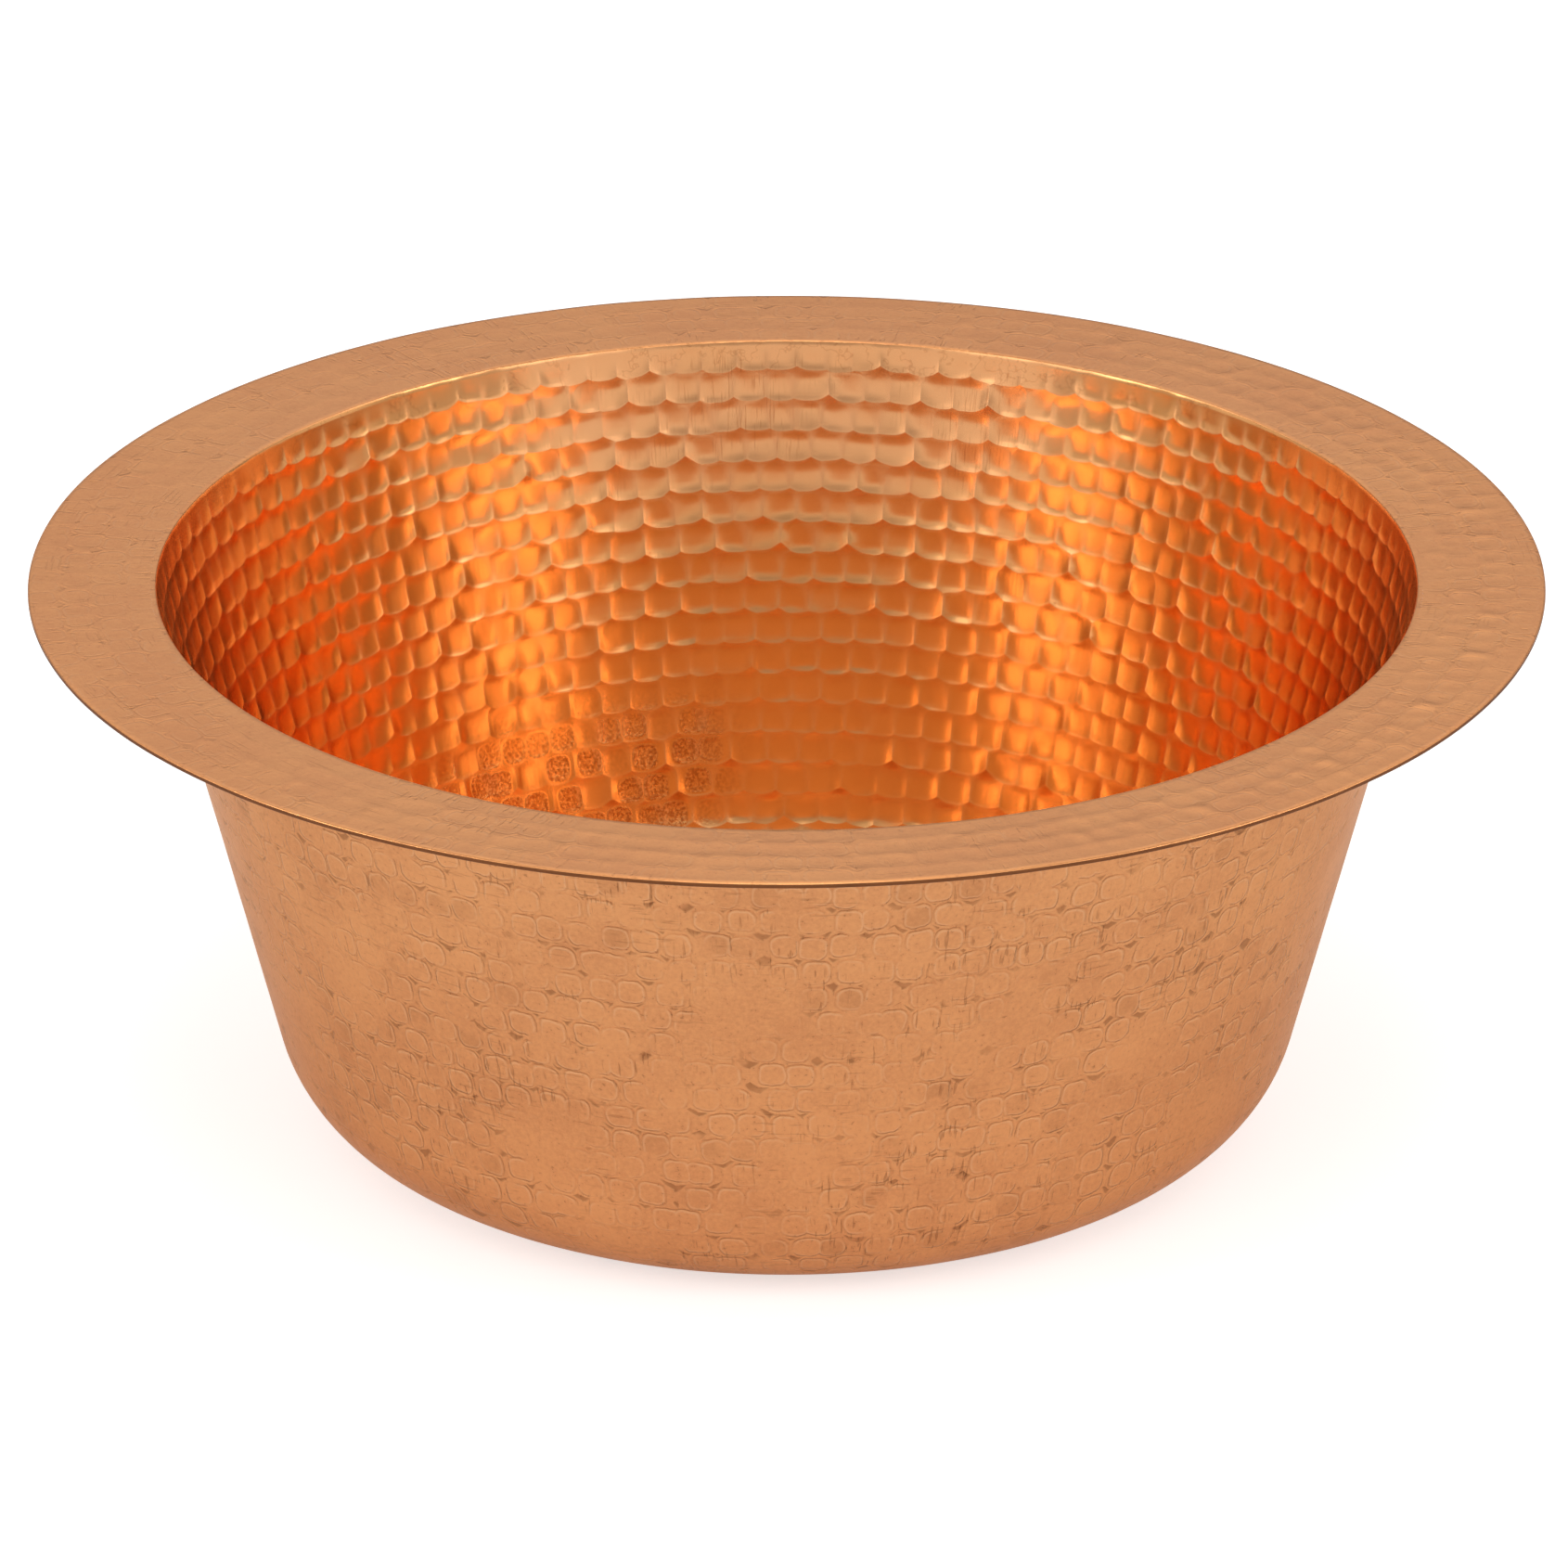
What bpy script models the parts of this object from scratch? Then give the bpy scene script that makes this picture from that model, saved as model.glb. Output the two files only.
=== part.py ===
"""Hammered copper bowl with a wide flat rim: a rolled wall, a dished base and a rim ring, welded together.

Metres, +Z up. The origin is the middle of the base, on the surface that the bowl stands on.
"""

import math
import random

import bmesh
import bpy
from mathutils import Matrix, Vector

# Driving dimensions
RIM_DIAMETER = 0.356
RIM_WIDTH = 0.030  # flat flange, from the opening to the rim's outer edge
BOWL_HEIGHT = 0.136
SHEET = 0.0013  # copper sheet, the same in the rim, the wall and the base
WALL_TAPER = math.radians(14.5)  # lean of the wall from upright
KNUCKLE_RADIUS = 0.0333  # outside of the bend from the wall to the floor
BASE_UPSTAND = 0.004  # straight edge of the base dish above its bend
WALL_SEAM_AZIMUTH = math.radians(149)  # where the ends of the rolled wall meet

# Welds
WELD_ROOT = 0.0022  # space left between two sheet edges for the weld
RIM_GROOVE = 0.0018  # width of the weld groove in the rim's top, round the wall
RIM_ROOT_FACE = 0.0004  # upright edge left under that groove
JOINT_GAP = 0.0003  # clearance between a weld, or a seated edge, and its neighbour

# Hammering of the inside
STRIKE_PITCH = 0.0075  # from one hammer mark to the next
STRIKE_DEPTH = 0.00035
STRIKE_DEPTH_SPREAD = 0.0001
STRIKE_WANDER = 0.0009  # how far a corner between marks strays from its even place
FLOOR_BOSS_RADIUS = 0.012  # the mark at the middle of the floor
STRIKE_SEED = 14

# Facets of the turned shapes
RIM_STEPS = 144
WALL_STEPS = 96
BASE_STEPS = 64
MERGE_DISTANCE = 0.00001

# Sheet metal in the plane of the section: (radius, height)
DOWN_WALL = Vector((-math.sin(WALL_TAPER), -math.cos(WALL_TAPER)))
OUT_OF_WALL = Vector((math.cos(WALL_TAPER), -math.sin(WALL_TAPER)))
RIM_RADIUS = RIM_DIAMETER / 2
OPENING_RADIUS = RIM_RADIUS - RIM_WIDTH
RIM_UNDERSIDE = BOWL_HEIGHT - SHEET
WALL_TOP = BOWL_HEIGHT
WALL_EDGE_RADIUS = OPENING_RADIUS + SHEET / math.cos(WALL_TAPER)  # outside of the wall's top edge
RIM_HOLE_RADIUS = WALL_EDGE_RADIUS + JOINT_GAP
KNUCKLE_INSIDE = KNUCKLE_RADIUS - SHEET

# Distance down the wall to where the bend begins, and the centre of that bend
WALL_TO_BEND = (WALL_TOP - KNUCKLE_RADIUS - KNUCKLE_INSIDE * OUT_OF_WALL.y) / math.cos(WALL_TAPER)
BASE_EDGE = WALL_TO_BEND - BASE_UPSTAND
WALL_LENGTH = BASE_EDGE - WELD_ROOT
SEAM_ANGLE = WELD_ROOT / OPENING_RADIUS


def on_wall(distance, depth=0.0):
    """Point of the section that far down the inside of the wall, and that deep into its sheet."""
    return Vector((OPENING_RADIUS, WALL_TOP)) + DOWN_WALL * distance + OUT_OF_WALL * depth


BEND_CENTRE = on_wall(WALL_TO_BEND) - OUT_OF_WALL * KNUCKLE_INSIDE
FLOOR_RADIUS = BEND_CENTRE.x


def clear_scene():
    for obj in list(bpy.data.objects):
        bpy.data.objects.remove(obj)


def copper(name, colour, roughness):
    material = bpy.data.materials.new(name)
    material.use_nodes = True
    shader = material.node_tree.nodes["Principled BSDF"]
    shader.inputs["Base Color"].default_value = (*colour, 1.0)
    shader.inputs["Metallic"].default_value = 1.0
    shader.inputs["Roughness"].default_value = roughness
    return material


def even_steps(start, end, pitch):
    """Points from start to end, both included, about a pitch apart."""
    count = max(1, round((end - start).length / pitch))
    return [start.lerp(end, i / count) for i in range(count + 1)]


def bend(radius, pitch):
    """Points round the bend at that radius, from the wall down to the floor, about a pitch apart."""
    turn = math.pi / 2 - WALL_TAPER
    count = max(2, round(radius * turn / pitch))
    angles = [-WALL_TAPER - turn * i / count for i in range(count + 1)]
    return [BEND_CENTRE + Vector((math.cos(a), math.sin(a))) * radius for a in angles]


def turned(name, profile, steps, collection, angle=2 * math.pi, start=0.0, closed=True):
    """Turned object from a section that runs down its outer side. An open section ends on the axis."""
    edges = [(i, i + 1) for i in range(len(profile) - 1)]
    if closed:
        edges.append((len(profile) - 1, 0))
    mesh = bpy.data.meshes.new(name)
    mesh.from_pydata([(p.x, 0.0, p.y) for p in profile], edges, [])
    obj = bpy.data.objects.new(name, mesh)
    obj.rotation_euler.z = start
    collection.objects.link(obj)
    screw = obj.modifiers.new("turn", "SCREW")
    screw.angle = angle
    screw.steps = steps
    screw.render_steps = steps
    screw.use_merge_vertices = True
    screw.merge_threshold = MERGE_DISTANCE
    return obj


def settle(obj):
    """Replaces the object's profile and Screw by the turned mesh, with any open ends capped."""
    graph = bpy.context.evaluated_depsgraph_get()
    mesh = bpy.data.meshes.new_from_object(obj.evaluated_get(graph))
    obj.modifiers.clear()
    obj.data = mesh
    shape = bmesh.new()
    shape.from_mesh(mesh)
    bmesh.ops.remove_doubles(shape, verts=shape.verts, dist=MERGE_DISTANCE)
    open_edges = [edge for edge in shape.edges if edge.is_boundary]
    if open_edges:
        bmesh.ops.holes_fill(shape, edges=open_edges)
    bmesh.ops.recalc_face_normals(shape, faces=shape.faces)
    return shape


def hammer(obj, is_struck):
    """Beats each struck facet into a hollow, after moving the corners between facets off their even places."""
    rng = random.Random(STRIKE_SEED)
    shape = settle(obj)
    struck = [face for face in shape.faces if is_struck(face)]
    inner_corners = [v for v in shape.verts if all(is_struck(face) for face in v.link_faces)]
    for corner in inner_corners:
        across = rng.uniform(-STRIKE_WANDER, STRIKE_WANDER)
        tangent = Vector((-corner.co.y, corner.co.x, 0.0))
        if tangent.length > FLOOR_BOSS_RADIUS:
            corner.co = Matrix.Rotation(across / tangent.length, 3, "Z") @ corner.co
    hollows = bmesh.ops.poke(shape, faces=struck, offset=-STRIKE_DEPTH)["verts"]
    for hollow in hollows:
        hollow.normal_update()
        hollow.co -= hollow.normal * rng.uniform(-STRIKE_DEPTH_SPREAD, STRIKE_DEPTH_SPREAD)
    shape.to_mesh(obj.data)
    shape.free()


def faces_in_from_wall(face):
    """True for a facet of the wall's inside, which looks back towards the axis."""
    middle = face.calc_center_median()
    outward = Vector((middle.x, middle.y, 0.0)).normalized()
    facing = Vector((face.normal.dot(outward), face.normal.z))
    return facing.dot(OUT_OF_WALL) < -0.9


def faces_into_dish(face):
    """True for a facet of the dish's inside, on its floor or its bend."""
    middle = face.calc_center_median()
    outward = Vector((middle.x, middle.y, 0.0))
    from_bend = Vector((min(0.0, FLOOR_RADIUS - outward.length), BEND_CENTRE.y - middle.z))
    looks = Vector((face.normal.dot(outward.normalized()), face.normal.z))
    on_inside = from_bend.length < KNUCKLE_RADIUS - SHEET / 2
    return on_inside and looks.dot(from_bend.normalized()) > 0.9 and outward.length > FLOOR_BOSS_RADIUS


def make_rim_ring(collection):
    """Flat ring round the top of the wall, with its inner edge cut back for the weld."""
    section = [
        Vector((RIM_RADIUS, BOWL_HEIGHT)),
        Vector((RIM_RADIUS, RIM_UNDERSIDE)),
        Vector((RIM_HOLE_RADIUS, RIM_UNDERSIDE)),
        Vector((RIM_HOLE_RADIUS, RIM_UNDERSIDE + RIM_ROOT_FACE)),
        Vector((RIM_HOLE_RADIUS + RIM_GROOVE, BOWL_HEIGHT)),
    ]
    return turned("rim_ring", section, RIM_STEPS, collection)


def wall_section(pitch):
    """Section of the rolled wall: plain outside, and a point for each row of hammer marks inside."""
    outer_top = Vector((WALL_EDGE_RADIUS, WALL_TOP))
    inside = even_steps(on_wall(WALL_LENGTH), on_wall(0.0), pitch)
    return [outer_top, on_wall(WALL_LENGTH, SHEET), *inside]


def make_wall_band(collection):
    angle = 2 * math.pi - SEAM_ANGLE
    start = WALL_SEAM_AZIMUTH + SEAM_ANGLE / 2
    wall = turned("wall_band", wall_section(STRIKE_PITCH), WALL_STEPS, collection, angle, start)
    hammer(wall, faces_in_from_wall)
    return wall


def make_wall_seam_weld(collection):
    clear_angle = JOINT_GAP / on_wall(WALL_LENGTH).x
    angle = SEAM_ANGLE - 2 * clear_angle
    start = WALL_SEAM_AZIMUTH - angle / 2
    weld = turned("wall_seam_weld", wall_section(WALL_LENGTH), 2, collection, angle, start)
    shape = settle(weld)
    shape.to_mesh(weld.data)
    shape.free()
    return weld


def make_base_dish(collection):
    outside = [on_wall(BASE_EDGE, SHEET), *bend(KNUCKLE_RADIUS, STRIKE_PITCH), Vector((0.0, 0.0))]
    floor_edge = Vector((FLOOR_RADIUS, SHEET))
    boss_edge = Vector((FLOOR_BOSS_RADIUS, SHEET))
    floor = even_steps(boss_edge, floor_edge, STRIKE_PITCH)
    inside_bend = list(reversed(bend(KNUCKLE_INSIDE, STRIKE_PITCH)))
    section = [*outside, Vector((0.0, SHEET)), *floor[:-1], *inside_bend, on_wall(BASE_EDGE)]
    dish = turned("base_dish", section, BASE_STEPS, collection)
    hammer(dish, faces_into_dish)
    return dish


def make_base_seam_weld(collection):
    top = WALL_LENGTH + JOINT_GAP
    foot = BASE_EDGE - JOINT_GAP
    section = [on_wall(top, SHEET), on_wall(foot, SHEET), on_wall(foot), on_wall(top)]
    return turned("base_seam_weld", section, WALL_STEPS, collection)


def make_rim_seam_weld(collection):
    """Weld in the groove between the wall and the rim, dressed flush with the rim's top."""
    slope = Vector((RIM_GROOVE, SHEET - RIM_ROOT_FACE)).normalized()
    off_rim = Vector((-slope.y, slope.x)) * JOINT_GAP
    groove_foot = Vector((RIM_HOLE_RADIUS, RIM_UNDERSIDE + RIM_ROOT_FACE)) + off_rim
    rise = (BOWL_HEIGHT - groove_foot.y) / slope.y
    wall_side = Vector((RIM_HOLE_RADIUS, BOWL_HEIGHT))
    foot = Vector((RIM_HOLE_RADIUS, groove_foot.y + (RIM_HOLE_RADIUS - groove_foot.x) * slope.y / slope.x))
    return turned("rim_seam_weld", [groove_foot + slope * rise, foot, wall_side], RIM_STEPS, collection)


def finish(obj, material):
    obj.data.materials.append(material)
    obj.data.shade_smooth()
    obj.data.set_sharp_from_angle(angle=math.radians(12))


def main():
    clear_scene()
    bowl = bpy.data.collections.new("hammered_copper_bowl")
    bpy.context.scene.collection.children.link(bowl)
    polished = copper("polished_copper", (0.93, 0.52, 0.27), 0.22)
    satin = copper("satin_copper", (0.80, 0.40, 0.20), 0.42)
    weld = copper("weld_copper", (0.72, 0.36, 0.19), 0.5)
    finish(make_rim_ring(bowl), satin)
    finish(make_wall_band(bowl), polished)
    finish(make_base_dish(bowl), polished)
    finish(make_wall_seam_weld(bowl), weld)
    finish(make_base_seam_weld(bowl), weld)
    finish(make_rim_seam_weld(bowl), weld)


main()
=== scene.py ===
# Hammered copper bowl: finish of the rim, wall, base and welds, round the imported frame
import math
from collections import namedtuple

import bmesh
import bpy
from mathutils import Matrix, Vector


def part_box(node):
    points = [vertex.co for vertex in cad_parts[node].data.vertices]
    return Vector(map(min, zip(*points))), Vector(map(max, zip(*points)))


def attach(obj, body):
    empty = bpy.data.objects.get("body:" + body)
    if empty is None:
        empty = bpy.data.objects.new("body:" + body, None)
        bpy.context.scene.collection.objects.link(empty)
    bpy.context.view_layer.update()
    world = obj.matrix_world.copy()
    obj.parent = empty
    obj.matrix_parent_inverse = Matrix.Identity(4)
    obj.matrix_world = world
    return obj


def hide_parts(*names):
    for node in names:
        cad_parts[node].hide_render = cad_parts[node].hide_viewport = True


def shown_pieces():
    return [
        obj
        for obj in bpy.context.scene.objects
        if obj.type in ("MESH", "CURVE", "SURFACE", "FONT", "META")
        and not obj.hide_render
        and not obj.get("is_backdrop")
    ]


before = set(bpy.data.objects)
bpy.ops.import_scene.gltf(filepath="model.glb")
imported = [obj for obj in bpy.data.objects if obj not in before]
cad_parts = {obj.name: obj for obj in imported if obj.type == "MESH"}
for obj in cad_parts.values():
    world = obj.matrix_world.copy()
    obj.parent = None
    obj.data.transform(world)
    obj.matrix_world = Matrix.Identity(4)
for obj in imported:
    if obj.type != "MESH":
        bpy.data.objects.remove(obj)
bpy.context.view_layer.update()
rimLow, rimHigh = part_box("rim_ring")
wallLow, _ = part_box("wall_band")
_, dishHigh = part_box("base_dish")

tau = 2 * math.pi

# the bowl's section, in metres: the inside face is followed from the rim to the middle of the floor
bowl = {
    "rimRadius": rimHigh.x,
    "height": rimHigh.z,
    "sheet": rimHigh.z - rimLow.z,
    "openingRadius": 0.148,
    "taper": math.radians(14.5),  # lean of the wall
    "bendRadius": 0.0333,  # outside of the bend into the floor
    "seamAngle": math.radians(149),  # where the rolled wall's ends meet
}
lean = bowl["taper"]
sheet = bowl["sheet"]
bendInside = bowl["bendRadius"] - sheet
wallTop = bowl["height"]
rimUnder = bowl["height"] - sheet
bendStart = (wallTop - bowl["bendRadius"] + bendInside * math.sin(lean)) / math.cos(lean)
bendLength = bendInside * (math.pi / 2 - lean)
floorStart = bendStart + bendLength
floorRadius = bowl["openingRadius"] - bendStart * math.sin(lean) - bendInside * math.cos(lean)
floorMiddle = floorStart + floorRadius
wallEnd = (wallTop - wallLow.z) / math.cos(lean)
dishEdge = (wallTop - dishHigh.z) / math.cos(lean)


def insideAt(along):  # radius, height and inward direction of the inside face, that far from the rim
    if along <= bendStart:
        slope = lean
        radius = bowl["openingRadius"] - along * math.sin(lean)
        height = wallTop - along * math.cos(lean)
    elif along <= floorStart:
        slope = lean + (along - bendStart) / bendInside
        radius = floorRadius + bendInside * math.cos(slope)
        height = bowl["bendRadius"] - bendInside * math.sin(slope)
    else:
        slope = math.pi / 2
        radius = max(0.0, floorMiddle - along)
        height = sheet
    return radius, height, (-math.cos(slope), math.sin(slope))


class Wire:  # one socket, so that sums on it can be written as Python
    def __init__(self, graph, socket):
        self.graph = graph
        self.socket = socket

    def maths(self, operation, *values):
        return self.graph.maths(operation, self, *values)

    def __add__(self, other):
        return self.maths("ADD", other)

    def __radd__(self, other):
        return self.maths("ADD", other)

    def __sub__(self, other):
        return self.maths("SUBTRACT", other)

    def __rsub__(self, other):
        return self.graph.maths("SUBTRACT", other, self)

    def __mul__(self, other):
        return self.maths("MULTIPLY", other)

    def __rmul__(self, other):
        return self.maths("MULTIPLY", other)

    def __truediv__(self, other):
        return self.maths("DIVIDE", other)

    def __rtruediv__(self, other):
        return self.graph.maths("DIVIDE", other, self)

    def __pow__(self, other):
        return self.maths("POWER", other)

    def __lt__(self, other):
        return self.maths("LESS_THAN", other)

    def __gt__(self, other):
        return self.maths("GREATER_THAN", other)

    def __abs__(self):
        return self.maths("ABSOLUTE")


class Graph:  # a node tree, for a material, the world or a piece's geometry
    def __init__(self, tree):
        self.tree = tree

    def add(self, kind, settings=None, sockets=None, out=0):
        node = self.tree.nodes.new(kind)
        for name, value in (settings or {}).items():
            setattr(node, name, value)
        for key, value in (sockets or {}).items():
            if isinstance(value, Wire):
                self.tree.links.new(value.socket, node.inputs[key])
            else:
                node.inputs[key].default_value = value
        return Wire(self, node.outputs[out]) if node.outputs else node

    def maths(self, operation, *values):
        return self.add("ShaderNodeMath", {"operation": operation}, dict(enumerate(values)))

    def vector(self, x, y, z):
        return self.add("ShaderNodeCombineXYZ", None, {0: x, 1: y, 2: z})

    def parts(self, vector):  # x, y and z of a vector, or red, green and blue of a colour
        first = self.add("ShaderNodeSeparateXYZ", None, {0: vector})
        return [Wire(self, socket) for socket in first.socket.node.outputs]

    def dice(self, x, y, z):  # three even random numbers for a place
        settings = {"noise_dimensions": "3D"}
        return self.parts(self.add("ShaderNodeTexWhiteNoise", settings, {0: self.vector(x, y, z)}, "Color"))

    def noise(self, place, scale, detail=2.0, roughness=0.5):
        sockets = {"Vector": place, "Scale": scale, "Detail": detail, "Roughness": roughness}
        return self.add("ShaderNodeTexNoise", None, sockets)

    def ramp(self, value, low, high):  # 0 below low, 1 above high, smooth between
        settings = {"interpolation_type": "SMOOTHSTEP"}
        return self.add("ShaderNodeMapRange", settings, {0: value, 1: low, 2: high, 3: 0.0, 4: 1.0})

    def patches(self, place, scale, low, high):  # soft-edged patches, 0 outside and 1 inside
        return self.ramp(self.noise(place, scale), low, high)

    def grain(self, angle, along, perRadian, perMetre, seed, detail, roughness):  # noise drawn out one way
        place = self.vector(angle * perRadian, along * perMetre, seed)
        return self.noise(place, 1.0, detail, roughness)

    def mix(self, share, first, second):
        return self.add("ShaderNodeMix", {"data_type": "RGBA"}, {0: share, 6: first, 7: second}, 2)

    def bump(self, height, strength, distance):
        sockets = {"Strength": strength, "Distance": distance, "Height": height}
        return self.add("ShaderNodeBump", None, sockets)


# hammering: rows of marks that run round the bowl, each a shallow dish cut off by its neighbours
hammering = {
    "pitch": 0.00745,  # from row to row
    "width": 0.0076,  # mean width of a mark
    "widthSpread": 0.26,  # how much that differs from row to row
    "rowShift": 9.0,  # how far along the rows start, at most, in marks
    "wanderAround": 0.44,  # how far a mark strays in its row, as a share of its width
    "wanderAlong": 0.13,
    "curveAlong": 2.9,  # 2 gives an even curve, more a flatter floor with steeper sides
    "curveAround": 3.0,
    "deepAlong": 0.155,
    "deepAround": 0.11,
    "fullTop": 0.3,  # share of the curve round the bowl at a mark's top, where the row above overlaps it
    "fullFoot": 2.2,  # and at its foot, which is round
    "outlineCurve": 3.2,  # 2 gives round outlines, more gives square ones
    "lean": 0.004,  # slope of every mark's floor, its foot standing further in
    "tilt": 0.03,  # how far a mark's floor leans besides, at most
    "edgeSlope": 0.12,
    "seed": 14.0,
}
noNeighbour = 9.0  # higher than any mark


def rowRadius(along):  # insideAt's radius, for a wire
    bent = (along - bendStart).maths("MAXIMUM", 0.0).maths("MINIMUM", bendLength)
    onWall = (bendStart - along).maths("MAXIMUM", 0.0)
    onFloor = (along - floorStart).maths("MAXIMUM", 0.0)
    onBend = (bent / bendInside + lean).maths("COSINE") * bendInside
    return onBend + floorRadius + onWall * math.sin(lean) - onFloor


def hammerMarks(graph, along, angle, radiusOf):
    # in pitches: height above a mark's floor, reach from its middle, closeness to a corner and distance to
    # its edge; then its own dice
    h = hammering
    row = along / h["pitch"]
    marks = []
    for up in (0, 1):
        k = (row - 0.5).maths("FLOOR") + up
        radius = radiusOf((k + 0.5) * h["pitch"])
        rowDice = graph.dice(k, 0.5, h["seed"])
        stretched = (rowDice[0] - 0.5) * h["widthSpread"] + 1.0
        count = (radius * stretched * (tau / h["width"])).maths("ROUND").maths("MAXIMUM", 1.0)
        around = angle / tau * count + rowDice[1] * h["rowShift"]
        across = radius * (tau / h["pitch"]) / count
        for side in (0, 1):
            c = (around - 0.5).maths("FLOOR") + side
            dice = graph.dice(k, c.maths("FLOORED_MODULO", count), h["seed"] + 1.0)
            du = (around - c - 0.5 - (dice[0] - 0.5) * h["wanderAround"]) * across
            dv = row - k - 0.5 - (dice[1] - 0.5) * h["wanderAlong"]
            wide, tall = abs(du), abs(dv)
            foot = (dv + 0.5).maths("MAXIMUM", 0.0).maths("MINIMUM", 1.0)
            full = foot * (h["fullFoot"] - h["fullTop"]) + h["fullTop"]
            height = tall ** h["curveAlong"] * h["deepAlong"] + dv * h["lean"]
            height = height + wide ** h["curveAround"] * h["deepAround"] * full
            reach = (wide ** h["outlineCurve"] + tall ** h["outlineCurve"]) ** (1.0 / h["outlineCurve"])
            slant = (dice[2] - 0.5) * du + (dice[0] - 0.5) * dv
            marks.append((height, reach, wide * tall, slant, dice[2]))
    best, second = marks[0][0], noNeighbour
    chosen = marks[0][1:]
    for height, *own in marks[1:]:
        closer = height < best
        second = best.maths("MAXIMUM", height).maths("MINIMUM", second)
        best = best.maths("MINIMUM", height)
        chosen = [old + (new - old) * closer for old, new in zip(chosen, own)]
    reach, corner, slant, tone = chosen
    inner = (1.0 - reach * reach * 4.0).maths("MAXIMUM", 0.0)  # 1 in a mark's middle, 0 half a pitch off
    edge = (second - best) / (2.0 * h["edgeSlope"])
    return best + slant * inner * (2.0 * h["tilt"]), reach, corner, edge, tone


# meshes: rings of points, joined in order
def bridge(faces, first, second):
    (a, n), (b, m) = first, second
    if n == m == 1:
        return
    if m == 1:
        faces += [(a + i, a + (i + 1) % n, b) for i in range(n)]
    elif n == 1:
        faces += [(b + (i + 1) % m, b + i, a) for i in range(m)]
    elif n == m:
        faces += [(a + i, a + (i + 1) % n, b + (i + 1) % n, b + i) for i in range(n)]
    elif n == 2 * m:
        for i in range(m):
            low, mid, high = a + 2 * i, a + 2 * i + 1, a + (2 * i + 2) % n
            near, far = b + i, b + (i + 1) % m
            faces += [(low, mid, near), (mid, high, far), (mid, far, near)]
    else:
        turned = []
        bridge(turned, second, first)
        faces += [tuple(reversed(face)) for face in turned]


# one ring of points: its finish is plain, edge, struck or broken, and loose is its share of the sheet's waver
Ring = namedtuple("Ring", "radius height count along struck loose finish inward")
finishes = {"plain": 0.0, "edge": 1.0, "struck": 3.0, "broken": 3.0}
finishFrom = {"Plain": -1.0, "Edge": 0.75, "Struck": 2.25}  # a face has the last one its points' mean is over
sharpAngle = math.radians(55)


def closeMesh(name, points, faces):
    mesh = bpy.data.meshes.new(name)
    mesh.from_pydata(points, [], faces)
    shape = bmesh.new()
    shape.from_mesh(mesh)
    bmesh.ops.recalc_face_normals(shape, faces=shape.faces)
    shape.to_mesh(mesh)
    shape.free()
    obj = bpy.data.objects.new(name, mesh)
    bpy.context.scene.collection.objects.link(obj)
    return obj


def turnRings(name, rings):
    points, faces, owners, inwards, starts = [], [], [], [], []
    for ring in rings:
        starts.append((len(points), ring.count))
        for i in range(ring.count):
            c, s = math.cos(tau * i / ring.count), math.sin(tau * i / ring.count)
            points.append((ring.radius * c, ring.radius * s, ring.height))
            owners.append(ring)
            inwards += [ring.inward[0] * c, ring.inward[0] * s, ring.inward[1]]
    for first, second in zip(starts, starts[1:] + starts[:1]):
        bridge(faces, first, second)
    obj = closeMesh(name, points, faces)
    attributes = obj.data.attributes
    attributes.new("inward", "FLOAT_VECTOR", "POINT").data.foreach_set("vector", inwards)
    for label in ("along", "struck", "loose"):
        values = [getattr(ring, label) for ring in owners]
        attributes.new(label, "FLOAT", "POINT").data.foreach_set("value", values)
    values = [finishes[ring.finish] for ring in owners]
    attributes.new("finish", "FLOAT", "POINT").data.foreach_set("value", values)
    return obj


def spread(start, end, step):
    count = max(1, round((end - start) / step))
    return [start + (end - start) * i / count for i in range(count + 1)]


def smooth(obj):  # smooth, but for the sheet's cut edges
    obj.data.shade_smooth()
    obj.data.set_sharp_from_angle(angle=sharpAngle)


# hammered sheet: moves each point of the struck face by the hammering, and gives its faces their finish
beating = {
    "Depth": 0.65,  # share of the marks' depth that is in the mesh
    "Raised": 0.00012,  # how far the ridges stand in from the drawn face
    "First Row": 0.5,  # share of the depth left in the row under the rim, which is dressed
    "Waver": 0.0006,  # slow unevenness of the sheet
    "Waver Scale": 15.0,
    "Fade": 0.0,  # how far the marks fade out towards the back left
}
fading = {
    "firstRow": (0.4, 1.2),  # where the dressed row ends, in pitches
    "turn": 0.6,  # which way the marks fade, and from where to where, in metres
    "span": (-0.09, 0.1),
}


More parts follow.
